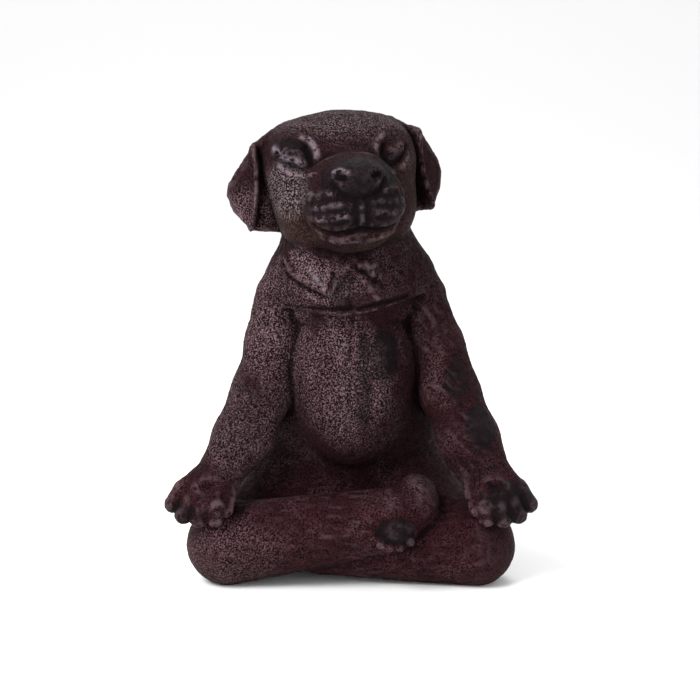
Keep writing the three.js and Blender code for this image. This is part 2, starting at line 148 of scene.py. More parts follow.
# %% The ears
EAR = (
    (8, -9),
    (13.5, -10.2),
    (19.6, -9.2),
    (22.9, -4.6),
    (23.8, -1.2),
    (23.2, 1.4),
    (18.2, 8.8),
    (13, 12),
    (8, 12),
)
EAR_HALF_THICKNESS = 1.3
EAR_EDGE = 1.4  # fillet along the outline
EAR_SLOPE = 0.5  # keeps the distance short of the true one where the sheet is steep
WEB_BACK = 3  # how far behind the head's middle the web lies
FOLD_ACROSS, FOLD_UP, FOLD_BOW, FOLD_WIDTH, FOLD_THICKENING = 16.2, 4, 0.015, 2.2, 6
FLAP_FORWARD, FLAP_SPLAY, FLAP_START = 4.2, 0.85, 1


def within(u, w, corners):
    """How far a point of the front lies inside corners that run anticlockwise."""
    least = np.full(len(u), FAR)
    for (a, b), (c, d) in zip(corners, corners[1:] + corners[:1]):
        least = np.minimum(least, ((w - b) * (c - a) - (u - a) * (d - b)) / math.hypot(c - a, d - b))
    return least


def ear(q, side, reach, lift):
    """Reach moves the ear away from the head, and lift raises it."""
    x, y, z = side * q[:, 0] - reach, q[:, 1], q[:, 2] - lift
    fold = FOLD_ACROSS + FOLD_BOW * (z - FOLD_UP) ** 2
    step = np.clip((x - fold) / FOLD_WIDTH, 0, 1)
    sheet = WEB_BACK - FLAP_FORWARD * ease(step) + FLAP_SPLAY * np.maximum(x - fold - FLAP_START, 0)
    half = EAR_HALF_THICKNESS * (1 + FOLD_THICKENING * step * (1 - step))
    return shared(EAR_SLOPE * (np.abs(y - sheet) - half), -within(x, z, EAR), EAR_EDGE)


print("an ear has", len(EAR), "corners")

# %% [markdown]
# ## Head
# The head is turned a little to its left and tipped over, so it is modelled in a frame of its own. The
# skull, temples and cheeks melt into one round mass. The muzzle is a dome that stands on it with a crisp
# edge, because its fillet is small.

# %% The head
HEAD_CENTRE = np.array([-2.8, -1.1, 84.8])
HEAD_TURN = Matrix.Rotation(math.radians(12.5), 3, "Z") @ Matrix.Rotation(math.radians(-4.6), 3, "Y")
HEAD_AXES = np.array(HEAD_TURN)
SKULL = ((0.6, 1, 0.2), (14.6, 15.5, 15))
FACE = {
    "temples": (ball, ((8.9, 0.5, 4.7), (7.3, 10, 8.1)), 5, 0.6),
    "cheeks": (ball, ((7.4, -5, -5.6), (7.4, 8.4, 8.2)), 4, 0.4),
    "muzzle": (ball, ((0, -12, -2.8), (10.6, 9.8, 9.4)), 0.7, None),
    "bridge": (ball, ((0, -14.2, 0.4), (8.6, 6.8, 6.2)), 1.6, None),
    "chin": (ball, ((0, -11, -8.8), (8.8, 8.6, 5.2)), 1.6, None),
    "upper lips": (ball, ((4.4, -16.2, -4.4), (5.6, 5, 4.9)), 2.4, 0.0),
    "nose": (ball, ((0, -18.6, 2.2), (5.3, 3.4, 3.4)), 2.5, None),
}
EAR_ROOTS = {"ear roots": (ball, ((14.6, 2.6, -0.6), (3.2, 3, 7)), 1, 0.0)}
EARS = ((-1, 0, 0.2), (1, 0.5, 1))  # side, reach and lift
EAR_FILLET = 1


def in_head(p):
    return (p - HEAD_CENTRE) @ HEAD_AXES


def face(q):
    return melted(ball(q, *SKULL), q, FACE)


def head(p):
    q = in_head(p)
    d = melted(face(q), q, EAR_ROOTS)
    for side, reach, lift in EARS:
        d = blend(d, ear(q, side, reach, lift), EAR_FILLET)
    return d


print("the face melts a skull and", ", ".join(FACE))

# %% [markdown]
# ## Arms and paws
# Both arms are the same chain of limbs, mirrored. Each paw lies palm up on a knee, so its toes curl over
# the knee's edge: four chains of short limbs round a palm, a thumb beside them and a hollow in the palm.

# %% The arms
TOES = (
    ((31.6, -15.6, 24), (35, -17.4, 21), (37.4, -18.4, 18.4)),
    ((30.8, -17.4, 22.6), (33.2, -19.6, 19), (35, -20.4, 16.6)),
    ((29.8, -18.2, 21.8), (30.8, -20.6, 18.4), (31.8, -21.2, 16)),
    ((28.6, -18.4, 21.2), (28.4, -20.8, 18.4), (28.4, -21.2, 16.2)),
)
TOE_RADII = (2.2, 2.5, 1.9)
KNUCKLE, WEBBING, TOE_ROOT, PALM_EDGE = 0.5, 0.6, 0.9, 1  # fillets of the paw
PALM = ((30.4, -16.8, 20), (6, 5.2, 5.2))
PALM_HOLLOW = ((29.4, -21.9, 23.4), (2.6, 2, 1.5))
THUMB = {"thumb": (limb, ((24.8, -15.6, 25), (26, -20.8, 17.6), 2, 1.3), 1, None)}
ARM = ((15.4, 0, 60), (18, -2, 50), (20.4, -5, 39.5), (24.2, -9.6, 30.4), (28.8, -14.6, 22.8))
ARM_RADII = (5.4, 5.5, 6.3, 6.4, 5)
ELBOW, WRIST = 2, 1.6  # fillets of the arm
LEAN_FROM, LEAN_TO = (60, 14), (30, 8)  # height and length of the stretch where the lean comes and goes


def paw(p):
    toes = chain(p, TOES[0], TOE_RADII, KNUCKLE)
    for toe in TOES[1:]:
        toes = blend(toes, chain(p, toe, TOE_RADII, KNUCKLE), WEBBING)
    d = melted(blend(ball(p, *PALM), toes, TOE_ROOT), p, THUMB)
    return carve(d, ball(p, *PALM_HOLLOW), PALM_EDGE)


def arm_middle(z):
    """The arms lean a little to one side between the shoulders and the paws."""
    return ease((LEAN_FROM[0] - z) / LEAN_FROM[1]) * (1 - ease((LEAN_TO[0] - z) / LEAN_TO[1]))


def arms(p):
    m = mirrored(p, arm_middle(p[:, 2]))
    return blend(chain(m, ARM, ARM_RADII, ELBOW), paw(m), WRIST)


print("a paw has", len(TOES), "toes and a thumb")

# %% [markdown]
# ## Body
# The belly is its own egg, so that a fold runs round it. A shawl of longer fur lies over the shoulders
# and ends in a hem across the chest, which is one egg cut off below a line and melted onto the other.

# %% The body
BACK = ((0, 5, 36), (19.8, 13.4, 29))
SHOULDERS = {"shoulders": (ball, ((0, 2, 62), (18, 11.6, 11)), 2, None)}
BELLY = ((0.4, -1.4, 44.6), (14.4, 12.4, 15))
LOWER_BELLY = {"lower belly": (ball, ((0, -1.4, 33), (11, 11.4, 11)), 8, None)}
BELLY_FOLD = 0.8
SHAWL = ((0, 0.8, 62.6), (18.9, 12.1, 13.4))
HEM_UP, HEM_RISE_LEFT, HEM_RISE_RIGHT, HEM_FILLET = 59.2, 0.05, 0.14, 0.9
HEM_SLOPE = 0.97  # makes the height over a rising hem a distance
NECK = {"neck": (limb, ((0, 2, 64), (-1.8, 0, 80), 15, 13.2), 3, None)}


def torso(p):
    belly = melted(ball(p, *BELLY), p, LOWER_BELLY)
    d = blend(melted(ball(p, *BACK), p, SHOULDERS), belly, BELLY_FOLD)
    hem = HEM_UP + np.where(p[:, 0] > 0, HEM_RISE_RIGHT, HEM_RISE_LEFT) * p[:, 0]
    d = blend(d, np.maximum(ball(p, *SHAWL), HEM_SLOPE * (hem - p[:, 2])), HEM_FILLET)
    return melted(d, p, NECK)


print("the hem crosses the chest at", HEM_UP, "percent")

# %% [markdown]
# ## Legs
# The legs are folded: hips and thighs run out to the knees, one shin lies in front of the rump, and the
# other crosses over it and ends in a foot whose toes point down. The photograph doesn't show the back,
# so the rump is plain.

# %% The legs
RUMP = ((0, 9, 13), (25, 16, 15))
THIGH = ((14, 4, 12), (25.6, -12, 8), 10.5, 8.6)
LOWER_SHIN = ((26.4, -13, 7.8), (-6, -12.2, 7.4), 8.8, 6.2)
UPPER_SHIN = ((-26.4, -13.2, 8.2), (8.2, -16.8, 14.4), 8.8, 7)
FOOT = ((9.4, -21, 13.6), (4.4, 4.2, 3.8))
TOE_TIPS = ((6.2, 11.3), (8.1, 10.7), (10.2, 10.8), (12.2, 11.9))  # across and up
TOE_ROOT_DEPTH, TOE_ROOT_UP, TOE_TIP_DEPTH = -22, 13.4, -24
TOE_ROOT_RADIUS, TOE_TIP_RADIUS, INSTEP = 1.5, 1, 0.5


def foot(p):
    toes = np.full(len(p), FAR)
    for x, z in TOE_TIPS:
        root = ((x + FOOT[0][0]) / 2, TOE_ROOT_DEPTH, TOE_ROOT_UP)
        toes = np.minimum(toes, limb(p, root, (x, TOE_TIP_DEPTH, z), TOE_ROOT_RADIUS, TOE_TIP_RADIUS))
    return blend(ball(p, *FOOT), toes, INSTEP)


LEGS = {
    "hips": (ball, ((12, 5, 15), (12, 13, 13.5)), 3, 0.0),
    "thighs": (limb, THIGH, 3, 0.0),
    "lower shin": (limb, LOWER_SHIN, 1.2, None),
    "upper shin": (limb, UPPER_SHIN, 0.9, None),
    "heel": (ball, ((13.8, -13.4, 17.2), (4.9, 7.2, 6.2)), 2, None),
    "foot": (foot, (), 0.7, None),
}
print("the legs melt a rump and", ", ".join(LEGS))

# %% [markdown]
# ## The whole dog
# A short tail curls round the rump. It, the torso, the arms and the head melt onto the legs, and the
# ground cuts the figure flat, so that it stands by its own weight.

# %% The whole dog
TAIL = ((0, 22.5, 8), (4.5, 26, 5.6), (10, 26.4, 4.6), (14.6, 24, 4.6))
TAIL_RADII = (3, 2.6, 2.1, 1.4)
TAIL_BONE = 0.3  # fillet along the tail
DOG = {
    "tail": (chain, (TAIL, TAIL_RADII, TAIL_BONE), 1.4, None),
    "torso": (torso, (), 1.6, None),
    "arms": (arms, (), 1.2, None),
    "head": (head, (), 1, None),
}


def dog(p):
    d = melted(melted(ball(p, *RUMP), p, LEGS), p, DOG)
    return np.maximum(d, -p[:, 2])


print("the middle of the belly is", dog(np.array([BELLY[0]])).round(1), "percent from the skin")

# %% [markdown]
# ## Sampling the clay
# A lattice of points samples the clay. Most of them lie far from the skin, so a coarse lattice of blocks
# finds the few that matter, and only those are worked out. Elsewhere just the sign is kept.

# %% Sample the clay
LOW = np.array([-43.0, -29.0, -2.0])
HIGH = np.array([43.0, 32.0, 103.0])
STEP = 0.56  # lattice spacing, in percent of the height
BLOCK = 4  # lattice cells along a block
NEAR_SKIN = 1.35  # a block whose middle is nearer the skin than this many block lengths is sampled
PARTS = 8  # the points go in as many parts, to save memory
CORNERS = [(i, j, k) for i in (0, 1) for j in (0, 1) for k in (0, 1)]
count = np.ceil((HIGH - LOW) / STEP / BLOCK).astype(int) * BLOCK


def spread(blocks):
    return blocks.repeat(BLOCK, 0).repeat(BLOCK, 1).repeat(BLOCK, 2)


def at_corner(lattice, corner):
    """The lattice's values at one corner of every cell."""
    i, j, k = corner
    return lattice[i : i + count[0], j : j + count[1], k : k + count[2]]


def sample(form):
    blocks = count // BLOCK
    middles = [LOW[i] + (np.arange(blocks[i]) + 0.5) * STEP * BLOCK for i in range(3)]
    rough = form(np.stack(np.meshgrid(*middles, indexing="ij"), -1).reshape(-1, 3)).reshape(blocks)
    near = spread(np.abs(rough) < NEAR_SKIN * STEP * BLOCK)
    wanted = np.zeros(count + 1, bool)
    for corner in CORNERS:
        view = at_corner(wanted, corner)
        view |= near
    values = np.ones(count + 1)
    values[:-1, :-1, :-1] = spread(np.sign(rough))
    places = LOW + np.argwhere(wanted) * STEP
    values[wanted] = np.concatenate([form(part) for part in np.array_split(places, PARTS)])
    return values


clay = sample(dog)
inside = clay < 0
print("lattice:", clay.shape, "with", int(inside.sum()), "points inside")

# %% [markdown]
# ## A vertex in each cell
# Each lattice cell that the skin crosses gets one vertex, in the middle of the crossings on its edges.
# Blender's Remesh modifier does the same with a mesh, but these numbers have no mesh yet.

# %% Cells and their vertices
EDGES = [(a, b) for a in CORNERS for b in CORNERS if a < b and sum(abs(s - t) for s, t in zip(a, b)) == 1]

filled = np.sum([at_corner(inside, corner) for corner in CORNERS], 0)
cells = np.argwhere((filled > 0) & (filled < len(CORNERS)))
total = np.zeros((len(cells), 3))
crossings = np.zeros(len(cells))
for a, b in EDGES:
    value_a, value_b = clay[tuple((cells + a).T)], clay[tuple((cells + b).T)]
    cut = (value_a < 0) != (value_b < 0)
    share = value_a[cut] / (value_a[cut] - value_b[cut])
    total[cut] += np.array(a) + share[:, None] * np.subtract(b, a)
    crossings[cut] += 1
skin_places = LOW + (cells + total / crossings[:, None]) * STEP
print("skin:", len(skin_places), "vertices")

# %% [markdown]
# ## A face across each crossed edge
# Each lattice edge that the skin crosses gets one face between the four cells round it, turned outwards.
# That gives even, square faces, which displacement likes.

# %% Faces
RING = ((0, 0), (1, 0), (1, 1), (0, 1))  # the four cells round an edge

number = np.full(count, -1)
number[tuple(cells.T)] = np.arange(len(cells))
faces = []
for axis in range(3):
    u, w = (axis + 1) % 3, (axis + 2) % 3
    edges = np.argwhere(inside != np.roll(inside, -1, axis))
    edges = edges[(edges[:, axis] < count[axis]) & (edges[:, u] > 0) & (edges[:, w] > 0)]
    ring = []
    for du, dw in RING:
        cell = edges.copy()
        cell[:, u] -= du
        cell[:, w] -= dw
        ring.append(number[tuple(cell.T)])
    ring = np.stack(ring, 1)
    faces.append(np.where(inside[tuple(edges.T)][:, None], ring, ring[:, ::-1]))
skin_faces = np.concatenate(faces)
print("skin:", len(skin_faces), "faces")

# %% [markdown]
# ## Slide onto the skin
# The vertices lie close to the clay's skin, not on it. The distance and its slope say how far the skin is
# and which way, so each vertex slides there in two short moves.

# %% Slide the vertices
PROBE = 0.1  # how far from a point its slope is measured
SLIDES = 2
LONGEST_SLIDE = 0.3
LEAST_STEEP = 0.05  # keeps a slide finite where the slope is nearly nothing


def slope(form, p):
    """Which way is out, as a vector that is about 1 long."""
    return np.stack([form(p + e) - form(p - e) for e in np.eye(3) * PROBE], -1) / (2 * PROBE)


for _ in range(SLIDES):
    out = slope(dog, skin_places)
    steep = np.maximum((out**2).sum(-1, keepdims=True), LEAST_STEEP)
    move = dog(skin_places)[:, None] * out / steep
    skin_places = skin_places - np.clip(move, -LONGEST_SLIDE, LONGEST_SLIDE)
skin_out = slope(dog, skin_places)
skin_out /= np.maximum(np.linalg.norm(skin_out, axis=1, keepdims=True), TINY)
print("left to the skin:", float(np.abs(dog(skin_places)).mean().round(4)), "percent")

# %% [markdown]
# ## Carving
# The closed eyes, the mouth, the nostrils and the fur are lines that a sculptor presses or lays on the
# finished mass. Here a line is a row of points on the skin with a width and a height: every vertex near
# it moves out by that height, or in where it is below zero, and less with its distance. Lines drawn on
# the front are walked in from the front until they meet the clay.

# %% Lines on the skin
FADE = 2.5  # how many widths from its middle a line is felt
STRIDE = 0.5  # length of a step inwards
HALVINGS = 8  # how often the last step is halved


def on_front(form, drawn):
    """Points drawn as (across, up), walked in to the form."""
    across, up = np.array(drawn, float).T
    inner = np.full(len(across), LOW[1])
    for _ in range(int((HIGH[1] - LOW[1]) / STRIDE)):
        inner = np.where(form(np.stack([across, inner, up], 1)) > 0, inner + STRIDE, inner)
    outer = inner - STRIDE
    for _ in range(HALVINGS):
        y = (outer + inner) / 2
        free = form(np.stack([across, y, up], 1)) > 0
        outer, inner = np.where(free, y, outer), np.where(free, inner, y)
    return np.stack([across, inner, up], 1)


def press(height, p, line, width, rise):
    """Adds a line to the height of every vertex near it."""
    line = np.array(line, float)
    centre = line.mean(0)
    reach = FADE * width + np.linalg.norm(line - centre, axis=1).max()
    near = np.flatnonzero(((p - centre) ** 2).sum(-1) < reach**2)
    if len(near) == 0:
        return
    nearest = np.full(len(near), FAR)
    for a, b in zip(line, line[1:] if len(line) > 1 else line):
        nearest = np.minimum(nearest, limb(p[near], a, b + TINY, 0, 0))
    height[near] += rise * np.exp(-((nearest / width) ** 2))


in_face = in_head(skin_places)
carving = np.zeros(len(skin_places))
print("the middle of the face meets the clay at", on_front(face, [(0, 0)])[0].round(2))

# %% [markdown]
# ## Eyes
# Everything on the face comes in pairs, drawn once and mirrored. A closed eye is a hollow with the lid
# standing in it and a slit that curves below the lid. One eye sits a little higher and is cut deeper.

# %% Carve the eyes
EYE = (  # width, rise and points
    (2.7, -1, ((9, 6.8), (11.8, 6.8))),  # hollow
    (1.4, 1.2, ((10, 6.8), (12, 7.3))),  # lid
    (0.5, -0.9, ((13.9, 7.2), (13, 5.6), (11.2, 4.4), (9.6, 3.9), (8, 4.5))),  # slit
    (0.55, 0.5, ((13.6, 4.6), (11.8, 3), (9.8, 2.4), (7.8, 2.7))),  # lower lid
    (0.7, 0.8, ((8.4, 10), (7, 9.2), (6.2, 7.6), (6.2, 6))),  # inner brow
    (0.7, -0.7, ((8.4, 8.2), (7.8, 6.6), (8, 5.2))),  # inner corner
    (1.8, 0.4, ((6.6, 12), (10, 12.4), (13.4, 10.6))),  # brow
)
EYES = ((-1, 0.4, 1.0), (1, -0.5, 0.75))  # side, lift and share of the carving's depth
for side, lift, share in EYES:
    for width, rise, drawn in EYE:
        press(carving, in_face, on_front(face, [(side * x, z + lift) for x, z in drawn]), width, rise * share)
print("eyes carved, deepest", round(carving.min(), 2), "percent")

# %% [markdown]
# ## Muzzle
# The muzzle has a soft rim, two nostrils, the groove under the nose, the lips' parting and the mouth.
# The whiskers' roots are rows of bumps with a shallow groove under each row.

# %% Carve the muzzle
MUZZLE = (
    (0.6, 0.25, ((10.4, -2.4), (9.8, 1), (8.2, 3.6), (5.4, 5.6), (2, 6.6))),  # rim
    (0.6, -0.9, ((4.3, 2.7), (3.2, 2.4))),  # nostril
    (0.5, 0.35, ((5.0, 3.3), (3.8, 3.7), (2.5, 3.2))),  # over the nostril
    (0.6, -0.55, ((5.4, 1.2), (4.4, -0.6), (2.6, -1.7), (0.6, -2.1))),  # under the nose
    (0.6, -0.4, ((1.2, -3), (1.2, -7))),  # beside the lips' parting
    (0.6, -0.9, ((0.6, -8.3), (2.4, -8.8), (5, -9), (7.6, -8.4), (9.4, -7))),  # mouth
    (0.8, 0.35, ((1.2, -10), (4.6, -10.6), (7.4, -9.8))),  # lower lip
)
PARTING = (0.5, 0.1, ((0, -2.6), (0.1, -7.4)))
WHISKER_ROWS = ((-0.9, 5.2, 1.45), (-2.9, 4.4, 1.55), (-5.2, 3.6, 1.65))  # up, first root and gap
WHISKERS_IN_ROW = 4
WHISKER_DROP = 0.15  # each root is this much lower than the one before
ROOT_WIDTH, ROOT_RISE = 0.6, 0.42
GROOVE_WIDTH, GROOVE_RISE, GROOVE_ENDS = 0.45, -0.2, ((3.4, -1), (9.4, -1.4))


def whiskers(side):
    for up, first, gap in WHISKER_ROWS:
        for i in range(WHISKERS_IN_ROW):
            root = on_front(face, [(side * (first + gap * i), up - WHISKER_DROP * i)])
            press(carving, in_face, root, ROOT_WIDTH, ROOT_RISE)
        groove = [(side * x, up + z) for x, z in GROOVE_ENDS]
        press(carving, in_face, on_front(face, groove), GROOVE_WIDTH, GROOVE_RISE)


for side in (-1, 1):
    for width, rise, drawn in MUZZLE:
        press(carving, in_face, on_front(face, [(side * x, z) for x, z in drawn]), width, rise)
    whiskers(side)
press(carving, in_face, on_front(face, PARTING[2]), *PARTING[:2])
print("face carved, highest", round(carving.max(), 2), "lowest", round(carving.min(), 2), "percent")

# %% [markdown]
# ## Chest
# Under the chin the fur hangs in pointed tufts. Each tuft's edge is a ridge with a groove just below it,
# so the tuft seems to lift off the chest. A faint wavering line runs down the belly.

# %% Carve the chest
TUFTS = (
    ((-14.6, 69), (-13.2, 66.2), (-10.3, 64.6), (-7.7, 63.5), (-5.2, 62.4), (-4.8, 64.6), (-4.2, 67.4)),
    ((0.6, 69.2), (1, 68), (2.8, 67.8), (4.7, 65.6), (4.8, 68)),
    ((-4.6, 61.2), (-2.6, 64.8), (-0.4, 68), (2.2, 64.8), (4.8, 61)),
)
TUFT_SHARES = (1.0, 0.85, 0.5)  # how much of the ridge and groove each tuft gets
RIDGE_WIDTH, RIDGE_RISE = 1.0, 0.8
UNDERCUT_WIDTH, UNDERCUT_RISE, UNDERCUT_SHIFT = 0.6, -0.9, (0.2, -1)
CHEST = (
    (0.7, -0.4, ((5.2, 65.2), (6.6, 63.6))),
    (0.6, -0.3, ((0, 60), (0.4, 56), (-0.3, 51), (-0.4, 45), (0.1, 38), (0.2, 27))),  # down the belly
    (0.5, -0.35, ((-13.8, 58.8), (-5.2, 58.9), (-0.2, 58.6))),  # under the hem
    (0.5, -0.35, ((1.4, 58.8), (6, 59.9), (11.8, 61.1))),
)
for drawn, share in zip(TUFTS, TUFT_SHARES):
    below = [(x + UNDERCUT_SHIFT[0], z + UNDERCUT_SHIFT[1]) for x, z in drawn]
    press(carving, skin_places, on_front(torso, drawn), RIDGE_WIDTH, RIDGE_RISE * share)
    press(carving, skin_places, on_front(torso, below), UNDERCUT_WIDTH, UNDERCUT_RISE * share)
for width, rise, drawn in CHEST:
    press(carving, skin_places, on_front(torso, drawn), width, rise)
print("chest carved with", len(CHEST) + 2 * len(TUFTS), "lines")

# %% [markdown]
# ## A stroke of fur
# The fur is short strokes that run down a limb, each pressed with the corner of a tool. A loop lays them
# in rings round the limb, and one seeded random number generator gives their spread. Where a stroke falls
# inside the clay it touches no vertex and does nothing.

# %% Fur strokes
STROKE_WIDTH = 0.5
TURN_SPREAD, RING_SPREAD, DEPTH_SPREAD = 0.3, 0.4, (0.6, 1.2)
BACKWARD = (0, 1, 0.2)  # no furry limb runs this way, so each ring can start from it
rng = np.random.default_rng(7)


def fur(start, end, start_radius, end_radius, rings, strokes, length=2.8, rise=-0.15, lean=0.35):
    """Strokes along a limb: rings of them, each stroke leaning a little round the limb."""
    start, end = np.array(start, float), np.array(end, float)
    along = end - start
    span = np.linalg.norm(along)
    along /= span
    side = np.cross(along, BACKWARD)
    side /= np.linalg.norm(side)
    up = np.cross(side, along)
    for ring in range(rings):
        for stroke in range(strokes):
            shift = 0.5 * (ring % 2) + rng.uniform(-TURN_SPREAD, TURN_SPREAD)
            turn = 2 * math.pi * (stroke + shift) / strokes
            begin = (ring + rng.uniform(-RING_SPREAD, RING_SPREAD)) / rings * span
            points = []
            for share in (0, 0.5, 1):
                run = np.clip((begin + share * length) / span, 0, 1)
                angle = turn + lean * share * length / start_radius
                radius = start_radius + (end_radius - start_radius) * run
                round_limb = side * math.cos(angle) + up * math.sin(angle)
                points.append(start + along * span * run + radius * round_limb)
            press(carving, skin_places, points, STROKE_WIDTH, rise * rng.uniform(*DEPTH_SPREAD))


print("the arm's first limb is", round(math.dist(ARM[0], ARM[1]), 1), "percent long")

# %% [markdown]
# ## Fur on the limbs
# The same function dresses the arms, the shins, the thighs and the neck. Shins lean their strokes to
# opposite sides, as fur does on legs that cross. After the fur all the carving moves the skin at once.

# %% Carve the fur
NECK_FUR = ((0, 2, 80), (0, 2, 56), 14.6, 17.8)
for side in (-1, 1):
    for i in range(len(ARM) - 1):
        a, b = [(side * x, y, z) for x, y, z in ARM[i : i + 2]]
        fur(a, b, ARM_RADII[i], ARM_RADII[i + 1], rings=6, strokes=14, length=2.6)
fur(*LOWER_SHIN, rings=14, strokes=18, lean=0.2)
fur(*UPPER_SHIN, rings=14, strokes=18, lean=-0.2)
for side in (-1, 1):
    hip, knee = [(side * x, y, z) for x, y, z in THIGH[:2]]
    fur(knee, hip, THIGH[3], THIGH[2], rings=8, strokes=16, rise=-0.13)
fur(*NECK_FUR, rings=8, strokes=40, rise=-0.13, lean=0.0)
skin_places = skin_places + skin_out * carving[:, None]
print("fur carved, deepest", round(carving.min(), 2), "percent")

# %% [markdown]
# ## What lies hollow
# The material darkens the hollows with painted shade and lightens what stands proud, as worn paint and a
# painted highlight, so it needs to know which is which. Each vertex is compared with the mean of its
# neighbours: where that mean lies outside, it is a hollow. The answer is kept as a mask, with 0.5 for flat
# skin.

# %% The hollow mask
SMOOTHING = 6  # rounds of taking the mean
HOLLOW_RANGE = 0.5  # percent of the height from the proudest to the deepest


def neighbour_mean(values, rounds):
    """The mean of each vertex's neighbours along the faces' edges, taken a few times."""
    a = skin_faces.ravel()
    b = np.roll(skin_faces, -1, 1).ravel()
    neighbours = np.bincount(a, minlength=len(values)) + np.bincount(b, minlength=len(values))
    for _ in range(rounds):
        sums = np.zeros_like(values)
        for i in range(values.shape[1]):
            sums[:, i] = np.bincount(a, values[b, i], len(values)) + np.bincount(b, values[a, i], len(values))
        values = sums / np.maximum(neighbours, 1)[:, None]
    return values


smooth = neighbour_mean(skin_places, SMOOTHING)
hollow = ((smooth - skin_places) * skin_out).sum(-1)
masks = {"hollow": np.clip(0.5 + hollow / HOLLOW_RANGE, 0, 1)}
print("hollow skin:", round(float((masks["hollow"] > 0.6).mean()), 3), "of all vertices")

# %% [markdown]
# ## What the brush left, and painted light and shade
# Near-black paint was brushed on in patches, and the same near-black is painted shade in the eye hollows,
# down the belly's side, on the right arm, partly on the right paw, between the tufts and over the side away
# from the light. Reddish rust shows on the legs, the crown and cheek are paler, an ochre tint lies under
# the jaw, and some places are worn, more so on the side towards the light, where the wear is painted light
# as well. Each patch is an egg with a soft edge, given as strength, centre and radii.

# %% Black paint and painted shade
BLACK_PAINT_AND_SHADE = (
    (0.9, (1.9, -21, 86.2), (8, 8, 5)),  # nose
    (0.7, (1.0, -18, 80.8), (11, 10, 6)),  # upper lips
    # painted shade in the eye hollows and under the brows
    (0.7, (-12.4, -11, 91.2), (5, 7, 3.4)),  # eyes
    (0.7, (8.6, -14, 90.2), (4, 6, 3.4)),
    # painted shade down the belly's side, away from the light
    (0.75, (7.2, -14, 49.5), (3.2, 8, 6.8)),  # belly's side
    (0.6, (2.8, -14, 44), (1.8, 6, 12)),
    (1.0, (9.6, -25, 14), (5, 4, 3)),  # foot
    (0.6, (-34, -19, 17), (6, 6, 3)),  # paws
    # on the right paw the black is partly paint and partly painted shade, away from the light
    (0.85, (33, -19, 19), (7, 6, 5)),
    (0.45, (-24, -14, 36), (6, 8, 12)),  # arms
    # painted shade on the right arm, where it meets the belly away from the light
    (0.75, (27.4, -14, 34), (3.4, 8, 5)),
    (0.6, (22.6, -12, 44), (3, 8, 6)),
    (0.4, (-14, -8, 62), (6, 6, 4)),
    # painted shade between the tufts
    (0.6, (-1.8, -12, 63), (3, 8, 4.2)),  # between the tufts
    # painted shade over the whole side away from the light
    (0.3, (30, -10, 34), (11, 16, 22)),  # the side away from the light
)
SPOT_EDGE = 0.6  # how wide a patch's soft edge is, in radii


def patches(spots):
    """A mask that is as strong as the strongest patch on each vertex."""
    mask = np.zeros(len(skin_places))
    for strength, centre, radii in spots:
        reach = np.sqrt((((skin_places - np.array(centre)) / np.array(radii)) ** 2).sum(-1))
        mask = np.maximum(mask, strength * (1 - ease((reach - 1 + SPOT_EDGE / 2) / SPOT_EDGE)))
    return mask


masks["black_and_shade"] = patches(BLACK_PAINT_AND_SHADE)
print("black paint:", round(float(masks["black_and_shade"].mean()), 3))

# %% [markdown]
# ## Rust, paler patches, ochre, and wear with painted light
# The other tints use the same function, each with its own patches. The wear is stronger on the side
# towards the light, so part of it is painted light.

# %% The other patches
TINTS = {
    "rust": (
        (1.0, (0, -16, 6), (44, 22, 15)),  # legs
        (0.7, (26, -8, 40), (10, 12, 18)),
        (0.6, (-33, -17, 21), (7, 7, 7)),  # paws
        (0.6, (33, -17, 21), (7, 7, 7)),
    ),
    # paler patches on the crown and the cheek
    "pale_tint": (
        (0.55, (-3, 0, 100), (20, 20, 6)),  # crown
        (1.0, (-13.5, -12, 83.5), (6, 8, 5.5)),  # cheek
    ),
    "ochre": (
        (0.8, (-11, -13, 76), (8, 8, 4)),  # jaw
        (0.7, (7, -15, 75), (8, 8, 4)),
        (0.5, (12, -6, 86), (5, 8, 6)),
        (0.5, (-26, -18, 3), (10, 9, 4)),
    ),
    "wear_and_light": (
        # wear, and painted light: stronger on the arm and chest towards the light, weaker away from it
        (0.5, (-16, -6, 52), (8, 12, 16)),  # arm and chest towards the light
        (0.5, (-24, -12, 34), (8, 12, 12)),
        (0.55, (-7, -14, 64), (9, 10, 5)),
        (0.5, (-2, -14, 44), (11, 8, 14)),
        (0.45, (-21, -4, 78), (6, 8, 6)),  # ear
        (0.3, (-28, -20, 8), (14, 9, 8)),  # knee
        (0.15, (26, -8, 38), (10, 12, 20)),  # arm away from the light
        (0.25, (9.6, -24, 13), (5, 4, 3)),  # foot
        (0.9, (-11, -12, 69.5), (2.8, 8, 2.4)),  # the long tuft
        (0.9, (-8.6, -13, 67.2), (2.8, 8, 2.4)),
        (0.9, (-6.2, -13, 64.8), (2.4, 8, 2.2)),
    ),
}
for name, spots in TINTS.items():
    masks[name] = patches(spots)
print("tints:", {name: round(float(masks[name].mean()), 3) for name in TINTS})

# %% [markdown]
# ## Painted highlights and painted shade
# On the side towards the light, painted highlights lie along the ridges, and painted shade darkens the
# groove of the hem. Both are lines, so the carving's own function draws them, into masks this time.

